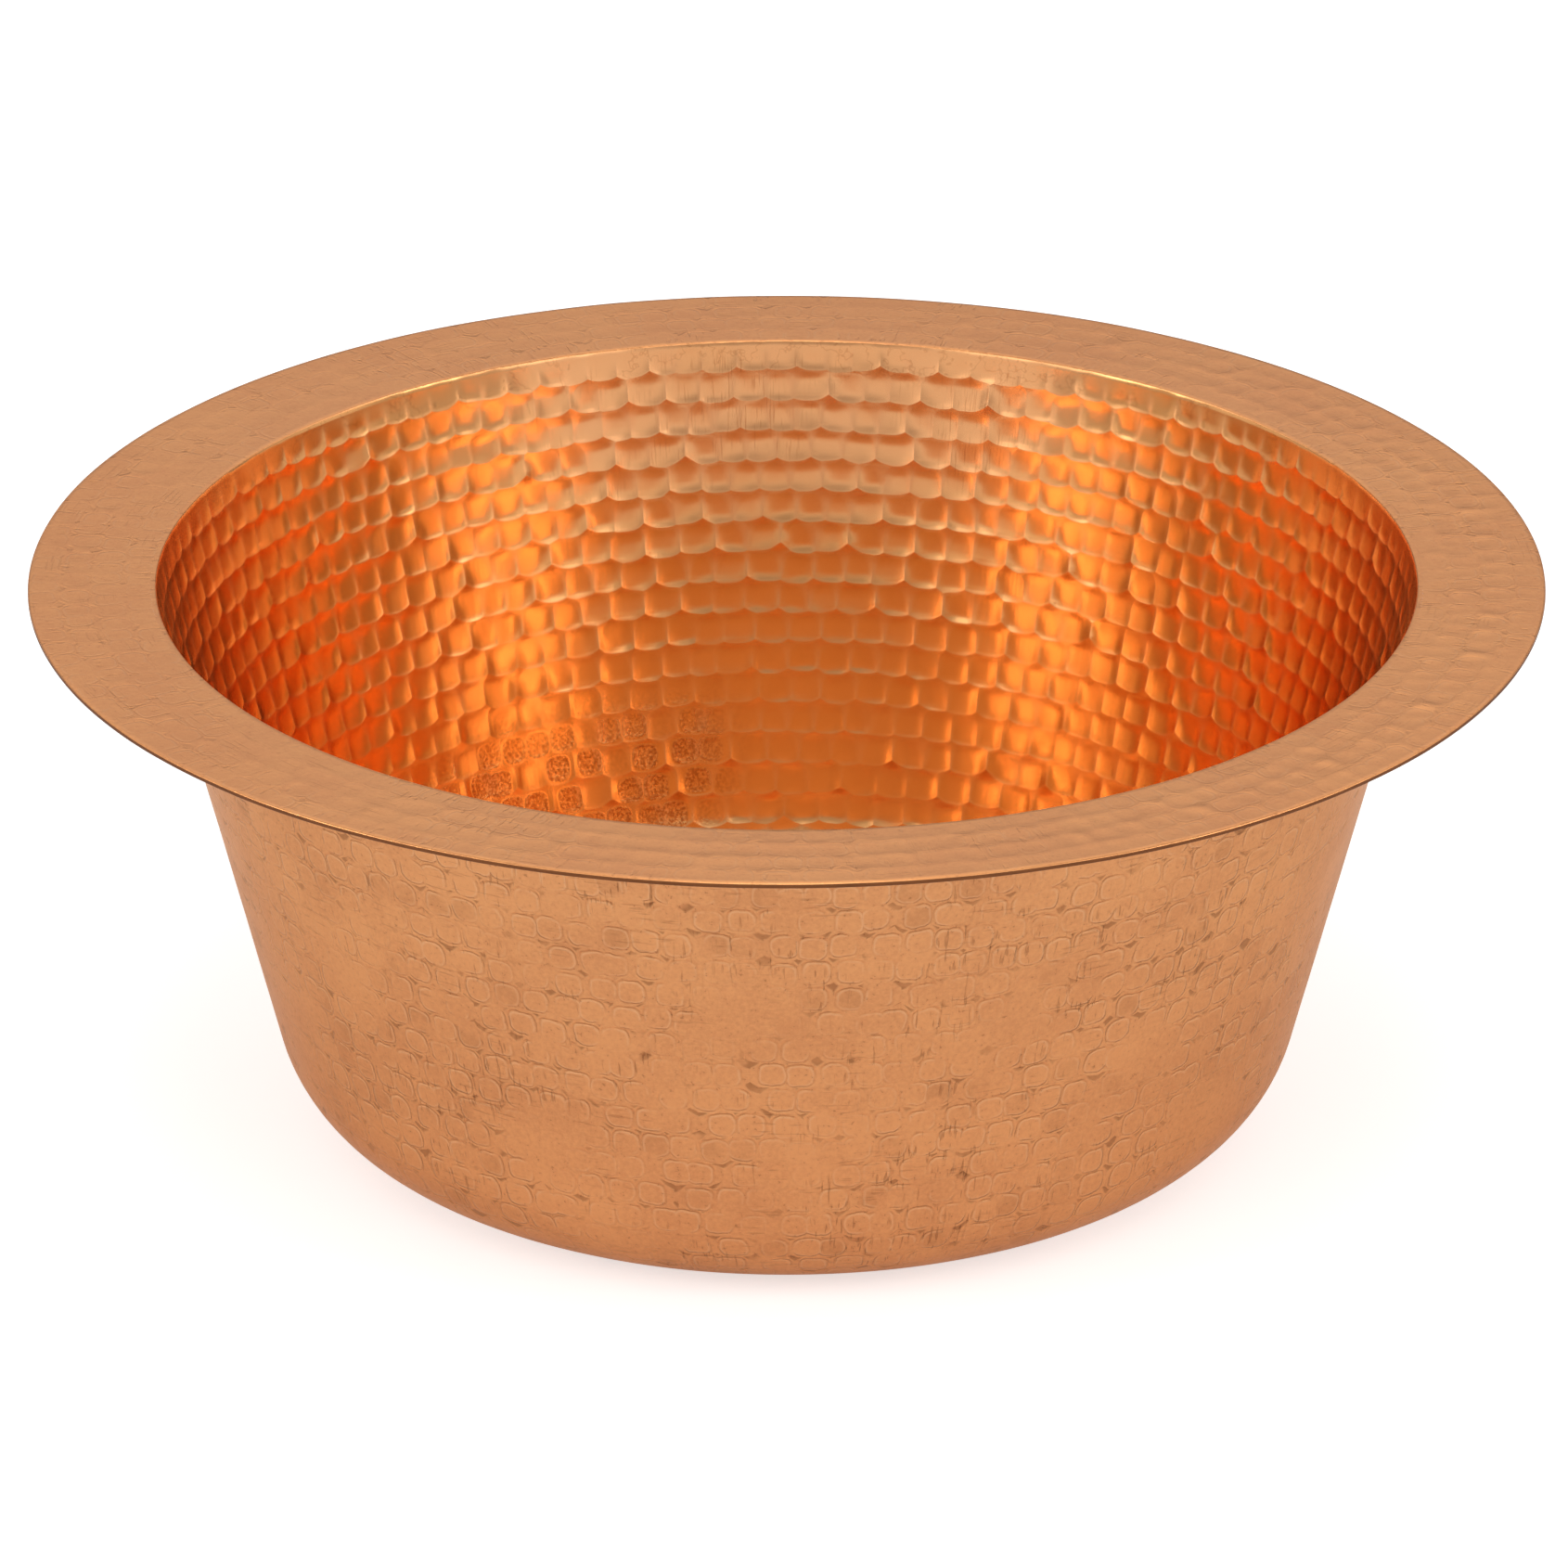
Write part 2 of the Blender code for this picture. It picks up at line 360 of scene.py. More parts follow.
def hammerTree(name, radiusOf):
    tree = bpy.data.node_groups.new(name, "GeometryNodeTree")
    face = tree.interface
    face.new_socket("Geometry", in_out="INPUT", socket_type="NodeSocketGeometry")
    for label, value in beating.items():
        face.new_socket(label, in_out="INPUT", socket_type="NodeSocketFloat").default_value = value
    for label in ("Struck Finish", "Plain Finish", "Edge Finish"):
        face.new_socket(label, in_out="INPUT", socket_type="NodeSocketMaterial")
    face.new_socket("Geometry", in_out="OUTPUT", socket_type="NodeSocketGeometry")
    graph = Graph(tree)
    entry = graph.add("NodeGroupInput").socket.node

    def given(label):
        return Wire(graph, entry.outputs[label])

    def stored(label, kind="FLOAT"):
        return graph.add("GeometryNodeInputNamedAttribute", {"data_type": kind}, {"Name": label})

    along, struck, finish = stored("along"), stored("struck"), stored("finish")
    place = graph.add("GeometryNodeInputPosition")
    x, y, _ = graph.parts(place)
    height = hammerMarks(graph, along, y.maths("ARCTAN2", x), radiusOf)[0]
    faded = 1.0 - given("Fade") * (1.0 - graph.ramp(x - y * fading["turn"], *fading["span"]))
    firstRow = 1.0 - graph.ramp(along, *(rows * hammering["pitch"] for rows in fading["firstRow"]))
    dressed = 1.0 - firstRow * (1.0 - given("First Row"))
    waver = (graph.noise(place, given("Waver Scale")) - 0.5) * given("Waver") * stored("loose")
    hollow = height * given("Depth") * hammering["pitch"] - given("Raised")
    lift = {0: stored("inward", "FLOAT_VECTOR"), "Scale": hollow * struck * dressed * faded + waver}
    move = graph.add("ShaderNodeVectorMath", {"operation": "SCALE"}, lift)
    beaten = graph.add("GeometryNodeSetPosition", None, {"Geometry": given("Geometry"), "Offset": move})
    whole = graph.add("GeometryNodeRealizeInstances", None, {"Geometry": beaten})
    for label, least in finishFrom.items():
        sockets = {"Geometry": whole, "Selection": finish > least, "Material": given(label + " Finish")}
        whole = graph.add("GeometryNodeSetMaterial", None, sockets)
    graph.add("NodeGroupOutput", None, {"Geometry": whole})
    return tree


def beat(obj, tree, struck, plain, edge, **changes):
    modifier = obj.modifiers.new("hammering", "NODES")
    modifier.node_group = tree
    values = {**beating, "Struck Finish": struck, "Plain Finish": plain, "Edge Finish": edge, **changes}
    for item in tree.interface.items_tree:
        if item.in_out == "INPUT" and item.name in values:
            modifier[item.identifier] = values[item.name]
    graph = bpy.context.evaluated_depsgraph_get()
    mesh = bpy.data.meshes.new_from_object(obj.evaluated_get(graph))
    obj.modifiers.remove(modifier)
    obj.data = mesh
    mesh.name = obj.name
    smooth(obj)


# finishes
def finishStart(name):
    material = bpy.data.materials.new(name)
    material.use_nodes = True
    graph = Graph(material.node_tree)
    shader = material.node_tree.nodes["Principled BSDF"]
    shader.inputs["Metallic"].default_value = 1.0
    place = graph.add("ShaderNodeTexCoord", None, None, "Object")
    return material, graph, shader, place


def bowlPlace(graph, place):  # angle round the bowl, and distance from the rim along its face
    x, y, _ = graph.parts(place)
    along = graph.add("ShaderNodeAttribute", {"attribute_name": "along"}, None, "Fac")
    return y.maths("ARCTAN2", x), along


def feed(graph, shader, **values):
    for key, wire in values.items():
        graph.tree.links.new(wire.socket, shader.inputs[key.replace("_", " ")])


# patches are (scale, low, high), noises (scale, detail, roughness) and grains (per radian, per metre, seed,
# detail, roughness); scales are per metre
polish = {
    "pale": (0.84, 0.4, 0.155, 1),
    "deep": (0.81, 0.375, 0.125, 1),
    "byMark": 0.4,  # share of the change from pale to deep that goes mark by mark, the rest being clouds
    "cloudNoise": (30.0, 3.0, 0.5),
    "roughness": 0.17,
    "cloudRoughness": 0.06,
    "relief": 0.55,  # share of the marks' depth that the finish adds
    "dressed": (0.1, 0.8),  # where the marks come in under the rim, in pitches
    "grain": 0.00003,  # height of ridges, streaks and pits
}
ridges = {  # lines between the marks, paler partly from wear and partly as a painted highlight
    "colour": (0.87, 0.45, 0.22, 1),
    "tint": 0.2,
    "width": (0.02, 0.15),  # half a ridge's flat top, and the foot of its sides, in pitches
    "least": 0.4,  # how much of them is left where they fade
    "fadePatches": (32.0, 0.38, 0.6),
    "roughness": 0.08,
    "height": 0.3,
}
pits = {  # a patch of marks with a rougher floor, at the back
    "colour": (0.46, 0.15, 0.04, 1),
    "tint": 0.85,
    "at": -0.05,
    "reach": (0.024, 0.044),
    "from": (0.08, 0.1),
    "marks": (0.05, 0.25),  # which marks are spared, by their dice
    "within": (0.38, 0.47),  # how far out in a mark the rough floor ends, in pitches
    "noise": (1300.0, 2.0, 0.6),
    "spread": (0.36, 0.64),
    "roughness": 0.1,
    "height": 3.5,
}
paintedReflection = {  # painted reflection: the rows near the rim, at the back, made paler and less metallic
    "colour": (0.92, 0.47, 0.25, 1),
    "tint": 0.35,
    "metal": 0.09,
    "to": (0.018, 0.06),  # how far down it ends, and how far back it begins
    "from": (0.12, 0.137),
}
wear = {  # fine streaks all over, scratches in the dressed row and upright lines in the rows below it
    "streakGrain": (150.0, 60.0, 0.0, 3.0, 0.6),
    "streakPatches": (26.0, 0.4, 0.65),
    "streakHeight": 0.7,
    "scratchNoise": (75.0, 4.0, 0.65),
    "scratchWidth": 0.014,
    "scratchTo": (0.006, 0.012),
    "scratchDark": 0.3,
    "lineGrain": (330.0, 130.0, 5.0, 2.0, 0.6),
    "lineWidth": (0.56, 0.66),
    "linePatches": (40.0, 0.42, 0.6),
    "lineTo": (0.03, 0.06),
    "lineDark": 0.38,
}


def pittedMarks(graph, x, y, along, reach, tone):  # where the marks have a rough floor
    here = (1.0 - graph.ramp(abs(x - pits["at"]), *pits["reach"])) * (y > 0.0)
    here = here * graph.ramp(along, *pits["from"]) * (1.0 - graph.ramp(along, bendStart, floorStart))
    return here * graph.ramp(tone, *pits["marks"]) * (1.0 - graph.ramp(reach, *pits["within"]))


def wornLines(graph, place, angle, along, dressed, atBack):  # darkness of the scratches and upright lines
    scored = abs(graph.noise(place, *wear["scratchNoise"]) - 0.5)
    scored = 1.0 - graph.ramp(scored, 0.0, wear["scratchWidth"])
    scored = scored * (1.0 - dressed * graph.ramp(along, *wear["scratchTo"]))
    lined = graph.ramp(graph.grain(angle, along, *wear["lineGrain"]), *wear["lineWidth"])
    lined = lined * graph.patches(place, *wear["linePatches"])
    lined = lined * (1.0 - graph.ramp(along, *wear["lineTo"])) * dressed * atBack
    return (scored * wear["scratchDark"] + lined * wear["lineDark"]).maths("MINIMUM", 1.0)


def polishedCopper():
    material, graph, shader, place = finishStart("polishedCopper")
    angle, along = bowlPlace(graph, place)
    height, reach, _, edge, tone = hammerMarks(graph, along, angle, rowRadius)
    x, y, _ = graph.parts(place)
    cloud = graph.noise(place, *polish["cloudNoise"])
    dressed = graph.ramp(along, *(rows * hammering["pitch"] for rows in polish["dressed"]))
    shown = ridges["least"] + (1.0 - ridges["least"]) * graph.patches(place, *ridges["fadePatches"])
    ridge = (1.0 - graph.ramp(edge, *ridges["width"])) * (shown * dressed)
    pitted = pittedMarks(graph, x, y, along, reach, tone)
    rough = graph.noise(place, *pits["noise"])
    atBack = graph.ramp(y, *paintedReflection["from"])
    # painted reflection: where the rows near the rim at the back are painted paler
    paintedReflectionShare = (1.0 - graph.ramp(along, *paintedReflection["to"])) * atBack
    shade = tone * polish["byMark"] + cloud * (1.0 - polish["byMark"])
    colour = graph.mix(shade, polish["pale"], polish["deep"])
    colour = graph.mix(paintedReflectionShare * paintedReflection["tint"], colour, paintedReflection["colour"])
    # ridges made paler: partly wear, partly a painted highlight
    colour = graph.mix(ridge * ridges["tint"], colour, ridges["colour"])
    colour = graph.mix(pitted * graph.ramp(rough, *pits["spread"]) * pits["tint"], colour, pits["colour"])
    colour = graph.mix(wornLines(graph, place, angle, along, dressed, atBack), colour, pits["colour"])
    streak = graph.grain(angle, along, *wear["streakGrain"]) * graph.patches(place, *wear["streakPatches"])
    dullness = polish["roughness"] + (cloud - 0.5) * polish["cloudRoughness"]
    dullness = dullness + ridge * ridges["roughness"] + pitted * pits["roughness"]
    relief = height * dressed * (hammering["pitch"] * polish["relief"])
    fine = ridge * ridges["height"] + streak * wear["streakHeight"] + rough * pitted * pits["height"]
    bump = graph.bump(relief + fine * polish["grain"], 1.0, 1.0)
    # less metal where the painted reflection lies
    metal = 1.0 - paintedReflectionShare * paintedReflection["metal"]
    feed(graph, shader, Base_Color=colour, Roughness=dullness, Metallic=metal, Normal=bump)
    return material


# satin copper: the marks show through from the other side as faint outlines, each with a painted light line
# inside it and darker grooves and corners, partly dirt and partly painted shade
satin = {
    # light is the colour of the painted highlight inside each outline
    "light": (0.86, 0.47, 0.24, 1),
    "dark": (0.3, 0.115, 0.045, 1),
    "roughness": 0.34,
    "hazeRoughness": 0.16,
    "hazeSpan": (0.36, 0.66),  # where the haze turns from the first colour to the second
    "hazeGrain": (3.0, 30.0, 1.0, 4.0, 0.62),
    "hazeShares": (0.5, 0.44, 0.06),  # of that grain, the specks and the marks
    "strayAlong": 260.0,  # scales at which the outlines stray, and how far they do
    "strayAround": 230.0,
    "warp": 0.0016,
    "markPatches": (34.0, 0.3, 0.52),  # where the marks show, and where their outlines break
    "breakPatches": (170.0, 0.36, 0.56),
    "outline": 0.44,  # how far from a mark's middle its outline lies, and half its width, in pitches
    "outlineHalf": 0.06,
    "outlineLeast": 0.06,
    "corner": (0.17, 0.23),
    "scratchGrain": (14.0, 1100.0, 3.0, 2.0, 0.6),
    "scratchWidth": (0.57, 0.66),
    "scratchPatches": (60.0, 0.5, 0.62),
    "dashGrain": (170.0, 160.0, 7.0, 1.0, 0.5),
    "dashWidth": (0.6, 0.68),
    "dashPatches": (48.0, 0.46, 0.6),
    "speckNoise": (900.0, 2.0, 0.7),
    "holes": (0.66, 0.72),
    "blotMarks": (0.86, 0.9),  # the few marks that are stained all over
    "blotReach": (0.3, 0.46),
    "height": 0.00016,
    "speckHeight": 0.2,
    "scratchHeight": 0.15,
    # outline and corner darkness is partly dirt in the grooves and partly painted shade; the rest are stains
    "darkness": {"outline": 0.16, "corner": 0.6, "dash": 0.4, "blot": 0.16, "hole": 0.4, "scratch": 0.3},
    # wear is the strength of the painted highlight inside each outline
    "wear": 0.55,
}
# share is how strongly the marks show, stainAndShade how dark their stains and painted shade are, and grazing
# the colour seen nearly edge on
satinFaces = {
    "satinCopper": {
        "colours": ((0.83, 0.385, 0.16, 1), (0.71, 0.31, 0.13, 1)),
        "grazing": (0.93, 0.8, 0.68, 1),
        "share": 1.0,
        "stainAndShade": 1.0,
    },
    "rimCopper": {
        "colours": ((0.94, 0.415, 0.155, 1), (0.85, 0.36, 0.14, 1)),
        "grazing": (1, 1, 1, 1),
        "share": 0.4,
        "stainAndShade": 0.4,
    },
}


def reverseMarks(graph, place, radiusOf, share, stainAndShade):
    # relief, darkness (stains, and painted shade in the outlines and corners), painted light lines and haze
    # of a satin face, the marks showing in patches
    angle, along = bowlPlace(graph, place)
    strayAlong = (graph.noise(place, satin["strayAlong"]) - 0.5) * satin["warp"]
    strayAround = (graph.noise(place, satin["strayAround"]) - 0.5) * (satin["warp"] / bowl["openingRadius"])
    _, reach, corner, _, tone = hammerMarks(graph, along + strayAlong, angle + strayAround, radiusOf)
    shown = graph.patches(place, *satin["markPatches"])
    shown = shown * graph.patches(place, *satin["breakPatches"]) * share
    middle, half = satin["outline"], satin["outlineHalf"]
    # painted highlight: a light line just inside each outline
    outline = 1.0 - graph.ramp(abs(reach - middle), 0.0, half)
    paintedOutlineLight = 1.0 - graph.ramp(abs(reach - (middle - half)), 0.0, half)
    corner = graph.ramp(corner, *satin["corner"])
    scratch = graph.ramp(graph.grain(angle, along, *satin["scratchGrain"]), *satin["scratchWidth"])
    scratch = scratch * graph.patches(place, *satin["scratchPatches"])
    dash = graph.ramp(graph.grain(angle, along, *satin["dashGrain"]), *satin["dashWidth"])
    dash = dash * graph.patches(place, *satin["dashPatches"])
    speck = graph.noise(place, *satin["speckNoise"])
    hole = graph.ramp(speck, *satin["holes"])
    blot = graph.ramp(tone, *satin["blotMarks"]) * (1.0 - graph.ramp(reach, *satin["blotReach"]))
    sunk = outline * (satin["outlineLeast"] + (1.0 - satin["outlineLeast"]) * shown) * share
    relief = speck * satin["speckHeight"] - sunk - (corner + dash) * shown - scratch * satin["scratchHeight"]
    d = satin["darkness"]
    # outlines and corners darkened partly as dirt and partly as painted shade; dashes, blots, holes and
    # scratches are stains
    dark = outline * d["outline"] + corner * d["corner"] + dash * d["dash"] + blot * d["blot"]
    dark = (dark * shown + hole * d["hole"] + scratch * d["scratch"]) * stainAndShade
    fromGrain, fromSpecks, fromMarks = satin["hazeShares"]
    haze = graph.grain(angle, along, *satin["hazeGrain"])
    haze = haze * fromGrain + speck * fromSpecks + tone * fromMarks
    return relief, dark.maths("MINIMUM", 1.0), paintedOutlineLight * shown * satin["wear"], haze


def satinFinish(name, radiusOf):
    material, graph, shader, place = finishStart(name)
    face = satinFaces[name]
    relief, dark, paintedOutlineLight, haze = reverseMarks(graph, place, radiusOf, face["share"], face["stainAndShade"])
    colour = graph.mix(graph.ramp(haze, *satin["hazeSpan"]), *face["colours"])
    # the painted highlight inside the outlines, then the stains and painted shade
    colour = graph.mix(paintedOutlineLight, colour, satin["light"])
    colour = graph.mix(dark, colour, satin["dark"])
    rough = satin["roughness"] + (haze - 0.5) * satin["hazeRoughness"]
    bump = graph.bump(relief, 1.0, satin["height"])
    shader.inputs["Specular Tint"].default_value = face["grazing"]
    feed(graph, shader, Base_Color=colour, Roughness=rough, Normal=bump)
    return material


# dull copper, in clouds: roughness is its least and its range, and bump its strength and height
dull = {
    "edgeCopper": {  # the sheared edge of the rim; its very dark colour is partly the cut edge's own and partly painted shade
        # painted shade: these colours are darker than the cut edge alone would be
        "colours": ((0.16, 0.06, 0.025, 1), satin["dark"]),
        "noise": (160.0, 3.0, 0.5),
        "roughness": (0.45, 0.2),
        "bump": (0.5, 0.0001),
    },
    "weldCopper": {
        "colours": (satinFaces["satinCopper"]["colours"][0], satin["dark"]),
        "noise": (120.0, 3.0, 0.5),
        "roughness": (0.42, 0.15),
        "bump": (0.3, 0.0004),
    },
}


def dullFinish(name):
    material, graph, shader, place = finishStart(name)
    look = dull[name]
    cloud = graph.noise(place, *look["noise"])
    colour = graph.mix(cloud, *look["colours"])
    least, more = look["roughness"]
    bump = graph.bump(cloud, *look["bump"])
    feed(graph, shader, Base_Color=colour, Roughness=least + cloud * more, Normal=bump)
    return material


# wall: hammered inside, satin outside, from the rim's top to the base seam
wall = {
    "around": 768,
    "step": 0.00104,
    "outsideStep": 0.0027,
    "corner": 0.0003,
    "cornerPoints": 3,
    "held": 0.03,  # how far down the rim holds the sheet from wavering
}


def loosened(along):  # the sheet wavers freely between the rim and the bend
    fromRim = min(1.0, max(0.0, along / wall["held"]))
    fromBend = min(1.0, max(0.0, (floorStart - along) / bendLength))
    return fromRim * fromRim * fromBend


def sheetRings(alongs, outsideAlongs, counts):
    rings = []
    for along in alongs:
        radius, height, inward = insideAt(along)
        rings.append(Ring(radius, height, counts(radius), along, 1.0, loosened(along), "struck", inward))
    for along in reversed(outsideAlongs):
        radius, height, inward = insideAt(along)
        count = max(1, counts(radius) // 2)
        radius, height = radius - inward[0] * sheet, height - inward[1] * sheet
        rings.append(Ring(radius, height, count, along, 0.0, loosened(along), "plain", inward))
    return rings


def finishPiece(obj, slot, *nodes):
    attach(obj, "root")
    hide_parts(*nodes)


def makeWall(tree, inside, outside, edge):
    corner, around = wall["corner"], wall["around"]
    alongs = spread(corner, wallEnd, wall["step"])
    overLip = sheet * math.tan(lean)  # the outer face meets the rim's top a little further up
    outsides = spread(-overLip, wallEnd, wall["outsideStep"])
    rings = sheetRings(alongs, outsides, lambda radius: around)
    rings[-1] = rings[-1]._replace(finish="edge")
    for i in range(wall["cornerPoints"]):
        turn = math.pi / 2 * i / wall["cornerPoints"]
        radius = bowl["openingRadius"] + corner * (1.0 - math.sin(turn))
        height = wallTop - corner * (1.0 - math.cos(turn))
        rings.append(Ring(radius, height, around, 0.0, 0.0, 0.0, "edge", (-1.0, 0.0)))
    obj = turnRings("wallBand", rings)
    beat(obj, tree, inside, outside, edge)
    finishPiece(obj, "polished_copper", "wall_band")


# base: the bend and the floor, with fewer points round it towards the middle
dish = {
    "around": 768,
    "step": 0.00105,
    "outsideStep": 0.0021,
    "halveBelow": (0.062, 0.031, 0.0155, 0.008),
    "point": 1e-6,  # a ring smaller than this is one point
}


def dishCount(radius):
    if radius < dish["point"]:
        return 1
    return dish["around"] >> sum(radius < limit for limit in dish["halveBelow"])


def makeDish(tree, inside, outside, edge):
    alongs = spread(dishEdge, floorMiddle, dish["step"])
    outsides = spread(dishEdge, floorMiddle, dish["outsideStep"])
    obj = turnRings("baseDish", sheetRings(alongs, outsides, dishCount))
    beat(obj, tree, inside, outside, edge)
    finishPiece(obj, "polished_copper", "base_dish")


def makeBaseSeam(tree, inside, outside, edge):
    alongs = spread(wallEnd, dishEdge, wall["step"])
    obj = turnRings("baseSeam", sheetRings(alongs, alongs, lambda radius: wall["around"]))
    beat(obj, tree, inside, outside, edge)
    finishPiece(obj, "weld_copper", "base_seam_weld")


# rim: flat ring with its edges just broken, and the weld dressed flush between it and the wall
rim = {
    "around": 768,
    "step": 0.0011,
    "underStep": 0.0044,
    "edge": 0.00045,
    "edgePoints": 4,
    "weldWidth": 0.0012,
    "marks": 1.15,  # depth of the rim's hammering, as a share of the wall's
    "marksFrom": 0.004,  # how far from the weld they have their full depth
    "fade": 0.65,
}
wallEdge = bowl["openingRadius"] + sheet / math.cos(lean)
rimHole = wallEdge + rim["weldWidth"]


def rimRow(along):  # the rim's rows are counted from its outer edge
    return bowl["rimRadius"] - along


def makeRim(tree, top, under, edge):
    low, high, broken = rimUnder, bowl["height"], rim["edge"]
    outer = bowl["rimRadius"]
    flat = spread(rimHole, outer - broken, rim["step"])
    flatUnder = spread(rimHole, outer - broken, rim["underStep"])
    quarter = [math.pi / 2 * i / rim["edgePoints"] for i in range(rim["edgePoints"] + 1)]
    section = [(r, high, "struck") for r in flat]
    for a in quarter[1:]:
        finish = "edge" if a == quarter[-1] else "broken"
        section.append((outer - broken * (1.0 - math.sin(a)), high - broken * (1.0 - math.cos(a)), finish))
    for a in quarter:
        section.append((outer - broken * (1.0 - math.cos(a)), low + broken * (1.0 - math.sin(a)), "edge"))
    section += [(r, low, "plain") for r in reversed(flatUnder[:-1])]
    rings = []
    for r, z, finish in section:
        share = rim["marks"] * min(1.0, (r - rimHole) / rim["marksFrom"]) if finish == "struck" else 0.0
        loose = ((r - rimHole) / (outer - rimHole)) ** 2
        rings.append(Ring(r, z, rim["around"], outer - r, share, loose, finish, (0.0, 1.0)))
    obj = turnRings("rimRing", rings)
    beat(obj, tree, top, under, edge, Raised=0.0, Fade=rim["fade"])
    finishPiece(obj, "satin_copper", "rim_ring")


def makeRimSeam(finish):
    high, low = bowl["height"], rimUnder
    rings = []
    for r, z in ((wallEdge, high), (rimHole, high), (rimHole, low), (wallEdge, low)):
        rings.append(Ring(r, z, rim["around"], bowl["rimRadius"] - r, 0.0, 0.0, "plain", (0.0, 1.0)))
    obj = turnRings("rimSeam", rings)
    obj.data.materials.append(finish)
    smooth(obj)
    finishPiece(obj, "weld_copper", "rim_seam_weld")


# wall seam: a low dressed bead down the outside, where the ends of the wall meet
bead = {
    "width": 0.0024,
    "crown": 0.00022,
    "sunk": 0.0003,
    "from": 0.003,
    "step": 0.0012,
    "sides": 8,
    "ripple": 0.12,  # unevenness of the crown, its turn from step to step and its bow across the bead
    "rippleTurn": 2.1,
    "rippleBow": 1.7,
}


def makeWallSeam(finish):
    points, faces = [], []
    sides = bead["sides"]
    alongs = spread(bead["from"], wallEnd, bead["step"])
    crownPlaces = [(j / sides - 0.5) * 2.0 for j in range(sides + 1)]  # -1 to 1 across the bead
    for i, along in enumerate(alongs):
        radius, height, inward = insideAt(along)
        out = (-inward[0], -inward[1])
        section = []
        for across in crownPlaces:
            wave = math.sin(i * bead["rippleTurn"] + across * across * bead["rippleBow"])
            ripple = 1.0 + bead["ripple"] * wave
            section.append((across, sheet + bead["crown"] * (1.0 - across * across) * ripple))
        section += [(across, sheet - bead["sunk"]) for across in (1.0, -1.0)]
        for across, proud in section:
            angle = bowl["seamAngle"] + across * bead["width"] / 2 / radius
            r, z = radius + out[0] * proud, height + out[1] * proud
            points.append((r * math.cos(angle), r * math.sin(angle), z))
    ring = sides + 3
    for i in range(len(alongs) - 1):
        a, b = i * ring, (i + 1) * ring
        faces += [(a + j, a + (j + 1) % ring, b + (j + 1) % ring, b + j) for j in range(ring)]
    faces += [tuple(range(ring)), tuple(reversed(range(len(points) - ring, len(points))))]
    obj = closeMesh("wallSeam", points, faces)
    obj.data.materials.append(finish)
    smooth(obj)
    finishPiece(obj, "weld_copper", "wall_seam_weld")


# camera, with its distance and aim in rim radii
view = {
    "distance": 20.0,
    "lens": 346.1,
    "sensor": 36.0,
    "lift": 23.58,
    "aimSide": -0.0035,
    "aimDown": 0.2997,
    "clipEnd": 100.0,
}


def setCamera():
    data = bpy.data.cameras.new("camera")
    data.lens = view["lens"]
    data.sensor_width = view["sensor"]
    camera = bpy.data.objects.new("camera", data)
    bpy.context.scene.collection.objects.link(camera)
    radius = bowl["rimRadius"]
    aim = Vector((view["aimSide"] * radius, 0.0, bowl["height"] - view["aimDown"] * radius))
    lift = math.radians(view["lift"])
    back = Vector((0.0, -math.cos(lift), math.sin(lift)))
    camera.location = aim + back * view["distance"] * radius
    camera.rotation_euler = back.to_track_quat("Z", "Y").to_euler()
    data.clip_end = view["clipEnd"]
    bpy.context.scene.camera = camera


# studio: two tall soft boxes at the front corners of an even surround; angles in degrees, round from the
# camera's side and up from the floor
light = {
    "surround": 0.76,
    "middle": -0.32,  # less light from beside the camera
    "middleTo": (10.0, 36.0),
    "middleFoot": (8.0, 18.0),
    "middleHead": (29.0, 35.0),
    "box": 4.2,
    "boxFrom": (56.0, 66.0),
    "boxTo": (78.0, 84.0),
    "boxFoot": (12.0, 18.0),
    "boxHead": (30.0, 36.0),
    "strip": 1.2,  # a narrower one beside each box, and the gap that is left between them
    "stripFrom": (26.0, 38.0),
    "gap": (45.0, 52.0),
    "gapLight": 0.7,
    "sides": 0.3,
    "sidesTo": (90.0, 120.0),
    "back": 0.5,  # how much lighter the back gets upwards, and where it is as light as the rest
    "backEven": 0.8,
    "backFrom": (100.0, 140.0),
    "backRise": (12.0, 34.0),
    "above": 1.1,  # a long panel overhead, lighter in its middle
    "aboveFrom": (44.0, 60.0),
    "aboveSpan": (0.02, 0.36),
    "top": 1.1,  # a panel high at the front
    "topFrom": (34.0, 42.0),
    "topTo": (70.0, 78.0),
    "topReach": (0.16, 0.32),
    "low": (9.0, 15.0),  # under this the front is lighter and the sides are darker
    "lowTo": (48.0, 51.0),
    "lowFront": 0.15,
    "lowSides": -0.25,
}


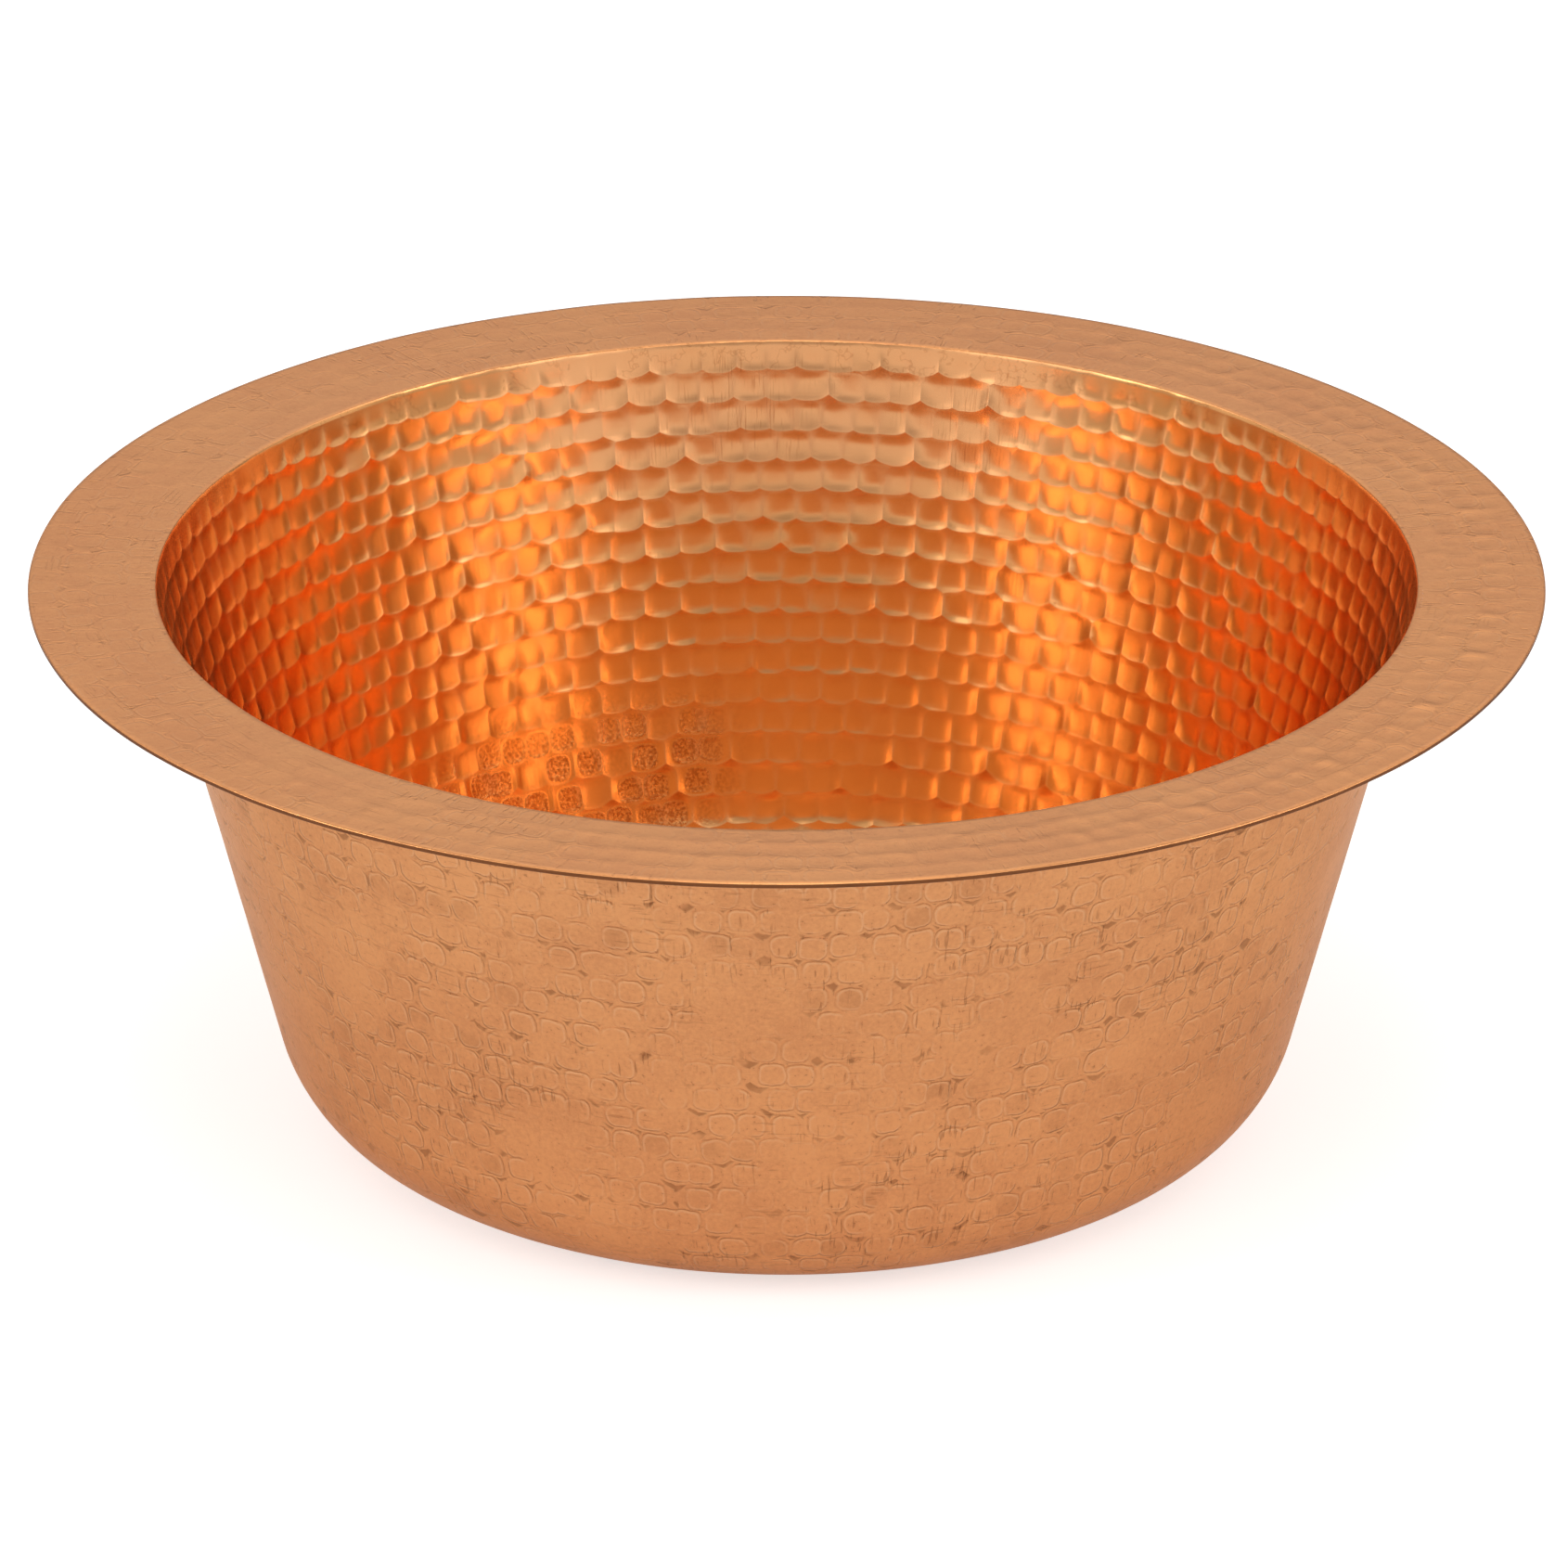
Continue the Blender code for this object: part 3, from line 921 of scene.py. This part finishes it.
def setWorld():
    world = bpy.data.worlds.new("studio")
    bpy.context.scene.world = world
    world.use_nodes = True
    graph = Graph(world.node_tree)
    background = world.node_tree.nodes["Background"]
    x, y, z = graph.parts(graph.add("ShaderNodeTexCoord", None, None, "Generated"))
    degrees = 180.0 / math.pi
    side = abs(x.maths("ARCTAN2", -1.0 * y)) * degrees
    lift = z.maths("ARCSINE") * degrees

    def past(value, label):  # 0 before the first of a pair of settings, 1 after the second
        return graph.ramp(value, *light[label])

    box = past(side, "stripFrom") * light["strip"] + past(side, "gap") * (light["gapLight"] - light["strip"])
    box = box + past(side, "boxFrom") * (light["box"] - light["gapLight"])
    box = box * (1.0 - past(side, "boxTo")) * past(lift, "boxFoot") * (1.0 - past(lift, "boxHead"))
    sides = past(side, "boxTo") * (1.0 - past(side, "sidesTo"))
    middle = (1.0 - past(side, "middleTo")) * past(lift, "middleFoot") * (1.0 - past(lift, "middleHead"))
    level = box + sides * light["sides"] + middle * light["middle"] + light["surround"]
    level = level + (past(lift, "backRise") - light["backEven"]) * light["back"] * past(side, "backFrom")
    level = level - past(lift, "aboveFrom") * (past(abs(x), "aboveSpan") - 0.5) * light["above"]
    top = past(lift, "topFrom") * (1.0 - past(lift, "topTo"))
    level = level + top * (1.0 - past(abs(x), "topReach")) * (y < 0.0) * light["top"]
    low = past(side, "lowTo") * (light["lowSides"] - light["lowFront"]) + light["lowFront"]
    level = level + low * (1.0 - past(lift, "low"))
    graph.tree.links.new(level.socket, background.inputs["Strength"])
    background.inputs["Color"].default_value = (1, 1, 1, 1)


# floor, pale and dull, just under the bowl so that the two faces don't lie in one plane
floor = {
    "half": 8.0,
    "gap": 0.0002,
    "colour": (0.72, 0.72, 0.72, 1),
    "roughness": 0.9,
    "glow": (0.6, 0.6, 0.6, 1),  # only for what looks at the floor: it lights nothing
    "mirrored": 0.34,  # share of that glow in the copper's reflections
}


def setFloor():
    mesh = bpy.data.meshes.new("floor")
    half, height = floor["half"], -floor["gap"]
    corners = [(-half, -half, height), (half, -half, height), (half, half, height), (-half, half, height)]
    mesh.from_pydata(corners, [], [(0, 1, 2, 3)])
    obj = bpy.data.objects.new("floor", mesh)
    bpy.context.scene.collection.objects.link(obj)
    material = bpy.data.materials.new("paleFloor")
    material.use_nodes = True
    graph = Graph(material.node_tree)
    shader = material.node_tree.nodes["Principled BSDF"]
    shader.inputs["Base Color"].default_value = floor["colour"]
    shader.inputs["Roughness"].default_value = floor["roughness"]
    shader.inputs["Specular IOR Level"].default_value = 0.0
    shader.inputs["Emission Strength"].default_value = 1.0
    path = graph.add("ShaderNodeLightPath").socket.node
    camera, glossy, through = (
        Wire(graph, path.outputs[f"Is {kind} Ray"]) for kind in ("Camera", "Glossy", "Transmission")
    )
    seen = (camera + glossy * floor["mirrored"] + through).maths("MINIMUM", 1.0)
    feed(graph, shader, Emission_Color=graph.mix(seen, (0, 0, 0, 1), floor["glow"]))
    pale, clear = Wire(graph, shader.outputs[0]), graph.add("ShaderNodeBsdfTransparent")
    below = graph.add("ShaderNodeNewGeometry", None, None, "Backfacing")  # from below, the floor isn't there
    surface = graph.add("ShaderNodeMixShader", None, {0: below, 1: pale, 2: clear})
    graph.tree.links.new(surface.socket, material.node_tree.nodes["Material Output"].inputs["Surface"])
    mesh.materials.append(material)
    obj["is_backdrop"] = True


bpy.context.scene.view_settings.view_transform = "Standard"
setCamera()
setWorld()
setFloor()
print("camera, light and floor set")
inside, edge, weld = polishedCopper(), dullFinish("edgeCopper"), dullFinish("weldCopper")
outside = satinFinish("satinCopper", rowRadius)
rimTop = satinFinish("rimCopper", rimRow)
sheetTree = hammerTree("hammeredSheet", rowRadius)
rimTree = hammerTree("hammeredRim", rimRow)
print("finishes and hammering trees made")
makeWall(sheetTree, inside, outside, rimTop)
makeBaseSeam(sheetTree, inside, outside, rimTop)
makeDish(sheetTree, inside, outside, rimTop)
makeRim(rimTree, rimTop, outside, edge)
makeRimSeam(rimTop)
makeWallSeam(weld)
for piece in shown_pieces():
    print(piece.name, sum(len(p.vertices) - 2 for p in piece.data.polygons), "triangles")
